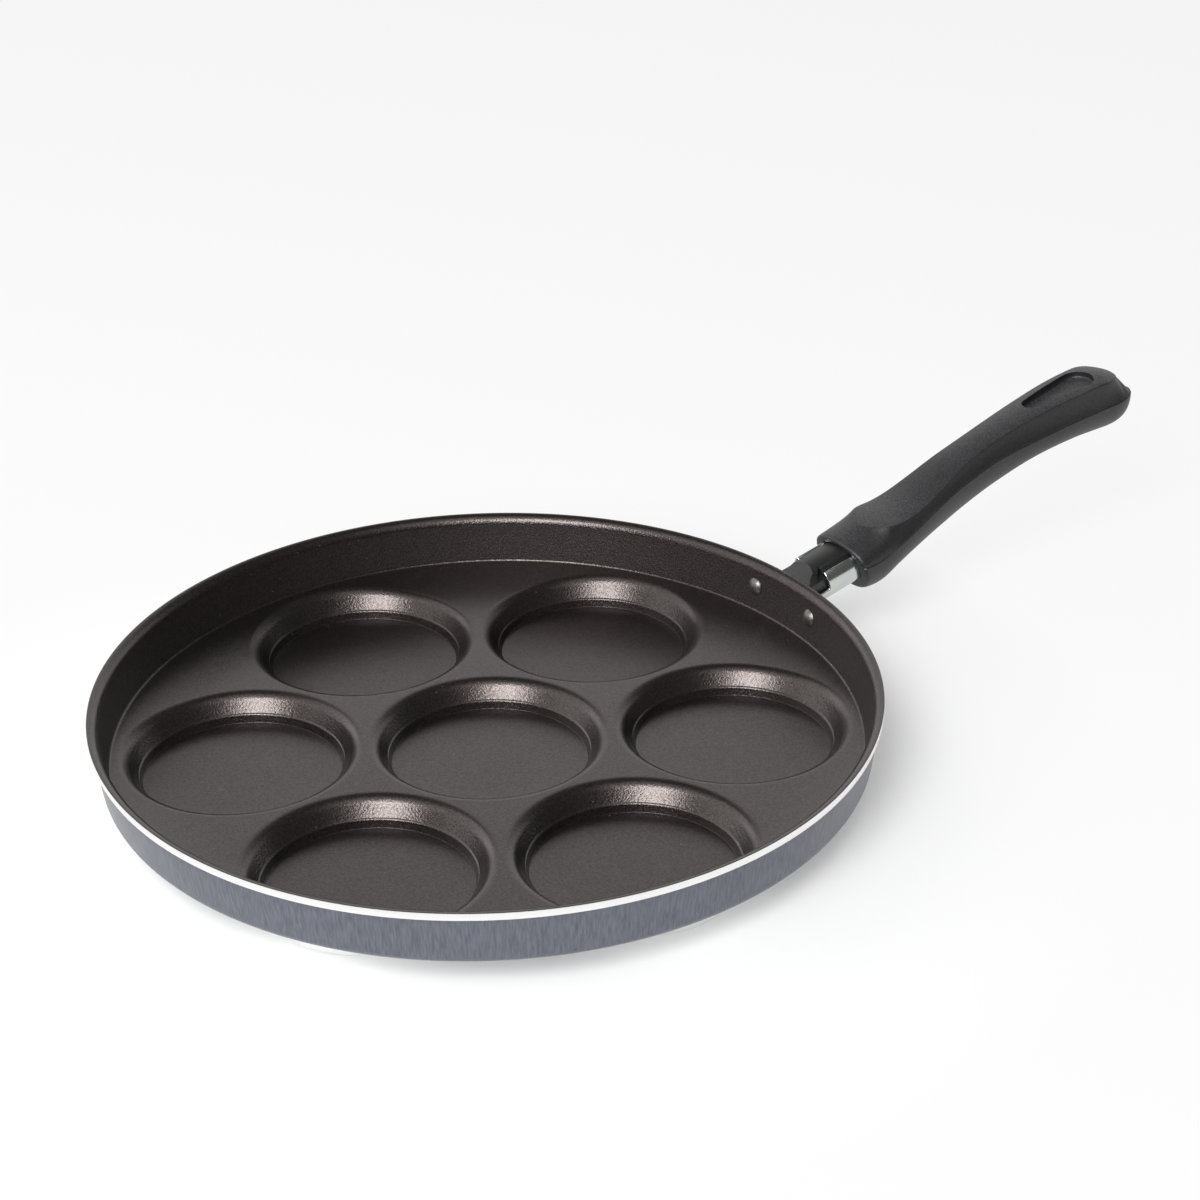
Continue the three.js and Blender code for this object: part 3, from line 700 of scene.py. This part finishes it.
def makeInsert():
    start, rise, end = 2 * insert["gap"], insert["notchRise"], neck["sideStart"]
    core = pushOutline("neck_insert", insertOutline(insert["cheekTop"]), start, neck["length"])
    boolean(core, pushOutline("nose", insertOutline(rise), start, end - insert["noseGap"]), "UNION")
    # sloping nose
    slope = atan2(insert["noseDrop"], insert["noseRun"])
    openMesh(core, "FACE")
    sliceAll((insert["noseRun"] * mm, 0, insertTop * mm), (-sin(slope), 0, cos(slope)),
             clear_outer=True, use_fill=True)
    closeMesh()
    # a wedge cut into each side of the nose, next to the channel's end
    inner, outer, over = insert["notchInner"], insert["notchOuter"], insert["notchOver"]
    wedge = [(end - insert["notchLength"], rise), (end + over, rise),
             (end + over, rise + insert["notchLength"] + over)]
    for first, last in ((inner, outer), (-outer, -inner)):
        cutter = pushOutline("notch", wedge, first, last)
        cutter.data.transform(Matrix.Rotation(-pi / 2, 4, "Z"))
        boolean(core, cutter, "DIFFERENCE")
    tidyNormals(core)
    roundEdges(core, insert["edgeRound"], angle=35)
    core.data.transform(neckFrame)
    smooth(core, angle=25)
    core.data.materials.append(coreBlack)
    settle(core, "black_moulding", "neck_insert")


makeInsert()

# grip, lofted along its lines and then cut

grip = {
    "datum": 20.5, "start": -0.04, "length": 141.2, "rise": 32.95, "stations": 150, "stationBias": 1.4,
    "mouth": 22.8, "mouthTilt": 21.0, "mouthRound": 1.3, "mouthRows": (1, 0.7, 0.45, 0.25, 0.1, 0.03),
    # towards the tip: where the crest, the face and the section close, and how fast
    "crestSetback": 1.8, "crestFall": 6.3, "crestBend": 1.6, "crestTaper": 0.8, "crestLeast": 0.02,
    "faceSetback": 7.7, "faceRound": 11.0, "faceSink": 0.9, "tipCut": 0.25, "tipRound": 15.0,
    "tipWidth": 0.8, "tipDepth": 0.37,
    # section
    "tongue": 0.063, "crown": 1.06, "crownRun": 0.1, "faceMost": 0.96, "faceLeast": 0.1, "hollow": 0.34,
    "edgeRound": 0.2, "edgeInMost": 0.3, "edgeOutMost": 0.15, "sideFirst": 0.01, "sideLast": 0.97,
    "step": 0.42, "stepLine": ((-0.3, 1), (-0.3, 0.6), (0.8, -0.3)),  # out, up, as shares of the step
    "belly": 0.9, "faceSteps": 8, "sideSteps": 14, "bellySteps": 16,
    # socket over the channel, recess and bore
    "collarWall": 3.2, "socketTight": 0.2, "socketLine": ((0.0, 0.9), (0.25, 2.4), (0.9, 4.0)),
    "socketEdge": 5.9, "socketWiden": 1.1, "socketDrop": 0.25, "socketFall": 1.2, "socketOver": 0.6,
    "recessLength": 33.3, "recessTipGap": 18.4, "recessNarrow": 3.7, "recessWide": 6.5, "recessDepth": 3.0,
    "recessRound": 0.9, "recessTool": 20, "boreRadius": 4.9, "boreDepth": 30, "boreDrop": 14.1,
}
socketTop = insertTop + 2 * insert["gap"]
collarHalf = neck["halfWidth"] + insert["gap"] + grip["collarWall"]
collarTop = socketTop + grip["collarWall"] / 2
collarLow = -neck["halfHeight"] - insert["gap"] - grip["collarWall"]
# by share of the grip's length: climb as a share of the rise, half widths as a share of the collar's,
# and how far the side is drawn in
gripLines = {
    "collar": [(-0.04, -0.069), (0, 0.003), (0.063, 0.111)],
    "top": [(0.063, 0.111), (0.1, 0.13), (0.17, 0.149), (0.23, 0.221), (0.295, 0.346), (0.36, 0.484),
            (0.42, 0.585), (0.505, 0.702), (0.63, 0.838), (0.77, 0.949), (0.885, 1), (1, 0.99)],
    "parting": [(-0.04, 0.049), (0, 0.067), (0.07, 0.109), (0.14, 0.225), (0.21, 0.352), (0.28, 0.479),
                (0.35, 0.589), (0.42, 0.679), (0.49, 0.765), (0.63, 0.868), (0.77, 0.959), (0.885, 1.002),
                (1, 1.032)],
    "bottom": [(-0.04, 0.039), (0, 0.012), (0.05, -0.042), (0.1, -0.024), (0.14, 0.07), (0.19, 0.165),
               (0.26, 0.281), (0.33, 0.388), (0.42, 0.532), (0.505, 0.655), (0.63, 0.81), (0.77, 0.897),
               (0.885, 0.91), (1, 0.912)],
    "half": [(-0.04, 0.955), (0, 1), (0.125, 1), (0.195, 0.933), (0.28, 0.83), (0.365, 0.733), (0.465, 0.69),
             (0.63, 0.733), (0.77, 0.807), (1, 0.837)],
    "face": [(0.063, 0), (0.0665, 0.17), (0.077, 0.38), (0.091, 0.55), (0.108, 0.69), (0.13, 0.755),
             (0.155, 0.764), (0.185, 0.75), (0.24, 0.71), (0.295, 0.645), (0.365, 0.552), (0.435, 0.498),
             (0.505, 0.493), (0.63, 0.551), (0.77, 0.65), (1, 0.71)],
    "drawnIn": [(-0.04, 0), (0.07, 0), (0.09, 0.1), (0.11, 0.3), (0.15, 0.75), (0.2, 1), (0.25, 1),
                (0.88, 1), (0.945, 0.5), (1, 0.3)],
}
datumPoint = neckFrame @ Vector((grip["datum"] * mm, 0, 0))
mouthPoint = neckFrame @ Vector((grip["mouth"] * mm, 0, 0))


def lineAt(name, place):
    # smooth line through the points of a table
    table = gripLines[name]
    share = place / grip["length"]
    i = max(k for k in range(len(table) - 1) if k == 0 or table[k][0] <= share)
    (t0, v0), (t1, v1) = table[i], table[i + 1]
    slope = (v1 - v0) / (t1 - t0)
    before = (v0 - table[i - 1][1]) / (t0 - table[i - 1][0]) if i > 0 else slope
    after = (table[i + 2][1] - v1) / (table[i + 2][0] - t1) if i + 2 < len(table) else slope
    m0, m1 = (slope + before) / 2 * (t1 - t0), (slope + after) / 2 * (t1 - t0)
    p = (share - t0) / (t1 - t0)
    return ((2 * p ** 3 - 3 * p ** 2 + 1) * v0 + (p ** 3 - 2 * p ** 2 + p) * m0
            + (3 * p ** 2 - 2 * p ** 3) * v1 + (p ** 3 - p ** 2) * m1)


def within(place, end, length):
    # how far a place lies in the last part before an end, 1 at the end itself
    return min(1, max(0, (place - (end - length)) / length))


def onFace(place):
    return place > grip["tongue"] * grip["length"]


def topAt(place):
    return collarTop + lineAt("top" if onFace(place) else "collar", place) * grip["rise"]


def gripSection(place):
    # half a section: top face, its edge, side, step at the parting line, underside
    end = sqrt(1 - within(place, grip["length"], grip["tipRound"]) ** 2)
    faceEnd = within(place, grip["length"] - grip["faceSetback"], grip["faceRound"])
    faceShare = sqrt(1 - faceEnd ** 2)
    crestEnd = within(place, grip["length"] - grip["crestSetback"], grip["crestFall"])
    fall = (1 - crestEnd ** grip["crestBend"]) ** grip["crestTaper"]
    parting = lineAt("parting", place) * grip["rise"]
    half = lineAt("half", place) * collarHalf * end ** grip["tipWidth"]
    top = parting + (topAt(place) - grip["faceSink"] * faceEnd ** 2 - parting) * max(fall, grip["crestLeast"])
    face = lineAt("face", place) * collarHalf * faceShare if onFace(place) else 0
    face = min(max(face, 0), half * grip["faceMost"])
    depth = (parting - collarLow - lineAt("bottom", place) * grip["rise"]) * end ** grip["tipDepth"]
    crownStart = min(1, max(0, (place / grip["length"] - grip["tongue"]) / grip["crownRun"]))
    crown = grip["crown"] * faceShare * crownStart

    # the collar's side is a round dome, further on it is drawn in to a hollow
    dome = (top - parting) / sqrt(1 - (face / half) ** 2)
    domeStart = acos(face / half)
    pull = (face + (half - face) * grip["hollow"], parting + (top - parting) * grip["hollow"])
    drawnIn = min(1, max(0, lineAt("drawnIn", place)))

    def sideAt(t):
        angle = domeStart * (1 - t)
        y, z = half * cos(angle), parting + dome * max(sin(angle), 0)
        y2 = (1 - t) ** 2 * face + 2 * t * (1 - t) * pull[0] + t * t * half
        z2 = (1 - t) ** 2 * top + 2 * t * (1 - t) * pull[1] + t * t * parting
        return y + (y2 - y) * drawnIn, z + (z2 - z) * drawnIn

    least, edgeRound = grip["faceLeast"], grip["edgeRound"]
    inset, first = 0, grip["sideFirst"]
    if face > least:
        inset = min(grip["edgeInMost"], edgeRound / face)
        first = min(grip["edgeOutMost"], edgeRound / max(hypot(half - face, top - parting), least))
    points = []
    for i in range(grip["faceSteps"] + 1):
        y = face * (1 - inset) * i / grip["faceSteps"]
        points.append((y, top + crown * (1 - (y / max(face, least)) ** 2)))
    edgeIn, edgeOut = points[-1], sideAt(first)
    points.append(tuple((a + 2 * b + c) / 4 for a, b, c in zip(edgeIn, (face, top), edgeOut)))
    steps = grip["sideSteps"]
    points += [sideAt(first + (grip["sideLast"] - first) * i / steps) for i in range(steps + 1)]
    step = grip["step"] * end
    points += [(half + step * out, parting + step * up) for out, up in grip["stepLine"]]
    for i in range(1, grip["bellySteps"] + 1):
        angle = pi / 2 * i / grip["bellySteps"]
        y = (half + step) * max(cos(angle), 0) ** grip["belly"]
        points.append((y, parting - depth * sin(angle) ** grip["belly"]))
    points[-1] = (0, points[-1][1])
    return points


def gripRecess():
    # teardrop tool with a rounded floor, lying along the top face
    wide, narrow = grip["recessWide"], grip["recessNarrow"]
    wideAt = grip["length"] - grip["recessTipGap"] - wide
    narrowAt = grip["length"] - grip["recessTipGap"] - grip["recessLength"] + narrow
    gone = wideAt - narrowAt
    lean = degrees(asin((wide - narrow) / gone))
    outline = arcPoints(0, 0, wide, -90 - lean, 90 + lean, steps=32)
    outline += arcPoints(-gone, 0, narrow, 90 + lean, 270 - lean, steps=24)
    tool = pushOutline("recess", [(y, x) for x, y in outline], 0, grip["recessTool"])
    tool.data.transform(Matrix(((0, 0, 1, 0), (0, 1, 0, 0), (1, 0, 0, 0), (0, 0, 0, 1))))  # stand it upright
    tidyNormals(tool)
    openMesh(tool)
    choose(tool, "EDGE", lambda edge: all(v.co.z < near * mm for v in edge.verts))
    bpy.ops.mesh.bevel(offset=grip["recessRound"] * mm, segments=5, affect="EDGES")
    closeMesh()
    low, high = topAt(narrowAt), topAt(wideAt)
    floorZ = datumPoint.z / mm + high + grip["crown"] - grip["recessDepth"]
    place = Matrix.Translation((datumPoint.x + wideAt * mm, 0, floorZ * mm))
    tool.data.transform(place @ Matrix.Rotation(-atan2(high - low, gone), 4, "Y"))
    return tool


def gripLoft():
    points, faces = [], []
    first, last = grip["start"] * grip["length"], grip["length"] - grip["tipCut"]
    for i in range(grip["stations"] + 1):  # closer together towards the tip
        share = 1 - (1 - i / grip["stations"]) ** grip["stationBias"]
        place = first + (last - first) * share
        halfRing = gripSection(place)
        ring = halfRing + [(-y, z) for y, z in reversed(halfRing[1:-1])]
        points += [(datumPoint.x + place * mm, y * mm, datumPoint.z + z * mm) for y, z in ring]
    count = len(ring)
    for start in range(0, len(points) - count, count):
        for i in range(count):
            a, b = start + i, start + (i + 1) % count
            faces.append((a, b, b + count, a + count))
    faces.append(tuple(range(count)))
    faces.append(tuple(range(len(points) - count, len(points))))
    piece = meshPiece("handle_grip", points, faces)
    tidyNormals(piece, doubles=0.002)
    return piece


def roundMouth(piece):
    # trim to the raked mouth, cut rows behind it and draw them in to a round edge
    tilt, radius = radians(grip["mouthTilt"]), grip["mouthRound"]
    square = Vector((cos(tilt), 0, sin(tilt)))
    openMesh(piece, "FACE")
    for share in grip["mouthRows"]:
        sliceAll(mouthPoint + square * share * radius * mm, square)
    sliceAll(mouthPoint, square, clear_inner=True, use_fill=True)
    closeMesh()
    for vertex in piece.data.vertices:
        away = vertex.co - mouthPoint
        behind = away.dot(square) / mm
        if behind < radius:
            drawn = radius - sqrt(max(0, radius ** 2 - (radius - behind) ** 2))
            across = away - square * away.dot(square)
            vertex.co -= across.normalized() * drawn * mm


def socketOutline():
    gap, half, corner = insert["gap"] - grip["socketTight"], neck["halfWidth"], neck["corner"]
    side = arcPoints(
        half - corner, -neck["halfHeight"] + corner, corner + gap, -90, 0, neck["cornerSteps"])
    side += [(half - inset + gap, height) for inset, height in grip["socketLine"]]
    side.append((neck["mouth"] / 2 + gap, grip["socketEdge"]))
    for i in range(insert["domeSteps"] + 1):
        y = insert["shoulder"] * (1 - i / insert["domeSteps"]) * grip["socketWiden"]
        fall = grip["socketFall"] * (y / insert["shoulder"]) ** 2
        side.append((y, socketTop - grip["socketDrop"] - fall))
    return mirrored(side)


def makeGrip():
    piece = gripLoft()
    roundMouth(piece)
    socket = pushOutline("socket", socketOutline(), 0, neck["length"] + grip["socketOver"])
    socket.data.transform(neckFrame)
    boolean(piece, socket, "DIFFERENCE")
    # bore for the screw and its washer
    washerLow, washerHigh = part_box("screw_washer")
    deselectAll()
    bpy.ops.mesh.primitive_cylinder_add(
        vertices=48, radius=grip["boreRadius"] * mm, depth=grip["boreDepth"] * mm)
    bore = newPiece("bore")
    drop = Matrix.Translation((0, 0, -grip["boreDrop"] * mm))
    bore.data.transform(Matrix.Translation((washerLow + washerHigh) / 2) @ neckTilt @ drop)
    boolean(piece, bore, "DIFFERENCE")
    boolean(piece, gripRecess(), "DIFFERENCE")
    smooth(piece, angle=14)
    piece.data.materials.append(gripBlack)
    settle(piece, "black_moulding", "handle_grip")


makeGrip()

# the hidden fastening keeps its solids and gets its material
for name in ("handle_screw", "screw_washer", "square_nut"):
    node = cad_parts[name]
    node.data.materials.clear()
    node.data.materials.append(zinc)
print("pieces done")

# floor, light and camera

stage = {
    "floorSize": 12.0, "floorDrop": 0.0002, "floorShade": "#f2f2f2", "white": 0.97,
    "shadowShare": 0.65, "shadowRest": 0.12, "shadowReach": (0.13, 0.22),
    "ambient": 0.3, "darkSide": 0.12, "paperFall": 0.4, "paperEdge": (0.64, 0.84), "roomEdge": (0.3, 0.55),
    "leftSweep": 0.95, "sweepEdge": (0.3, 0.8), "sweepDip": 1.2,
    "lensLength": 73.486, "sensorWidth": 36, "clipStart": 0.01, "cameraAt": (-0.371641, -0.594012, 0.430338),
    "cameraRight": (0.81474, -0.57972, -0.0112), "cameraUp": (0.27866, 0.37454, 0.88435),
    "lamps": [  # degrees round from the camera and up from the floor, metres away, size, radiance
        ("main_softbox", -20, 41, 1.6, (0.75, 0.9), 8.0),
        ("main_diffuser", -20, 41, 1.63, (1.3, 1.0), 6.1),
        ("main_scrim", -20, 64, 1.66, (2.1, 1.5), 1.0),
        ("left_softbox", -105, 35, 1.7, (2.5, 1.5), 1.2),
    ],
}
cameraRight, cameraUp = Vector(stage["cameraRight"]), Vector(stage["cameraUp"])
cameraBack = cameraRight.cross(cameraUp)


def backdropRay(tree):
    # 1 for rays that look at the backdrop, 0 for the light it gives
    path = addNode(tree, "ShaderNodeLightPath").outputs
    return combine(tree, "MAXIMUM", path["Is Camera Ray"], path["Is Glossy Ray"]), path["Is Camera Ray"]


def makeFloor():
    deselectAll()
    bpy.ops.mesh.primitive_plane_add(size=stage["floorSize"], location=(0, 0, -stage["floorDrop"]))
    floor = newPiece("studio_floor")
    material, tree, shader, coords = startMaterial("matt_white_paper", {
        "Base Color": hexColour(stage["floorShade"]), "Roughness": 0.9})
    white = addNode(tree, "ShaderNodeEmission", {"Strength": stage["white"]}).outputs[0]
    # the shadow shows round the pan and the paper is plain white further off
    away = addNode(tree, "ShaderNodeVectorMath", {"operation": "LENGTH", 0: coords["Object"]})
    fade = spread(tree, away.outputs["Value"], *stage["shadowReach"],
                  1 - stage["shadowShare"], 1 - stage["shadowRest"])
    share = combine(tree, "MULTIPLY", fade, backdropRay(tree)[0])
    mixed = addNode(tree, "ShaderNodeMixShader", {0: share, 1: shader.outputs[0], 2: white})
    tree.links.new(mixed.outputs[0], tree.nodes["Material Output"].inputs["Surface"])
    floor.data.materials.append(material)


def makeWorld():
    # white backdrop beyond the pan, a darker room on the camera's side
    world = bpy.data.worlds.new("studio")
    bpy.context.scene.world = world
    world.use_nodes = True
    tree, dark = world.node_tree, stage["darkSide"]
    looking = addNode(tree, "ShaderNodeTexCoord").outputs["Generated"]
    aside = addNode(tree, "ShaderNodeMath", {
        "operation": "ABSOLUTE", 0: along(tree, looking, (cameraRight.x, cameraRight.y, 0))}).outputs[0]
    rise = addNode(tree, "ShaderNodeMath", {
        "operation": "MULTIPLY_ADD", 0: aside, 1: stage["paperFall"], 2: upward(tree, looking)}).outputs[0]
    paper = spread(tree, rise, *stage["paperEdge"], 1.0, dark)  # tall in the middle, lower to the sides
    ahead = along(tree, looking, (-cameraBack.x, -cameraBack.y, 0))
    room = combine(tree, "MINIMUM", paper, spread(tree, ahead, *stage["roomEdge"], dark, 1.0))
    leftwards = along(tree, looking, (-cameraRight.x, -cameraRight.y, -stage["sweepDip"]))
    sweep = spread(tree, leftwards, *stage["sweepEdge"], 0.0, stage["leftSweep"])
    room = combine(tree, "MAXIMUM", room, sweep)  # with white paper low down on the left
    seen, first = backdropRay(tree)
    lit = combine(tree, "MULTIPLY", room, spread(tree, seen, low=stage["ambient"], high=1.0))
    background = tree.nodes["Background"]
    background.inputs["Color"].default_value = (1, 1, 1, 1)
    tree.links.new(combine(tree, "MAXIMUM", lit, first), background.inputs["Strength"])


def addLamp(name, turn, rise, distance, size, radiance):
    angle = atan2(cameraBack.y, cameraBack.x) + radians(turn)
    aim = Vector((cos(angle) * cos(radians(rise)), sin(angle) * cos(radians(rise)), sin(radians(rise))))
    lamp = bpy.data.lights.new(name, "AREA")
    lamp.shape = "ELLIPSE"
    lamp.size, lamp.size_y = size
    lamp.energy = radiance * pi * size[0] * size[1] * pi / 4
    item = addItem(name, lamp)
    item.location = aim * distance
    item.rotation_euler = aim.to_track_quat("Z", "Y").to_euler()


def makeCamera():
    lens = bpy.data.cameras.new("photo_camera")
    lens.lens = stage["lensLength"]
    lens.sensor_width = stage["sensorWidth"]
    lens.clip_start = stage["clipStart"]
    camera = addItem("photo_camera", lens)
    right = cameraRight.normalized()
    up = (cameraUp - right * cameraUp.dot(right)).normalized()
    turned = Matrix((right, up, right.cross(up))).transposed().to_4x4()
    camera.matrix_world = Matrix.Translation(stage["cameraAt"]) @ turned
    bpy.context.scene.camera = camera


makeFloor()
makeWorld()
for lamp in stage["lamps"]:
    addLamp(*lamp)
makeCamera()
bpy.context.scene.view_settings.view_transform = "Standard"
print("stage ready")
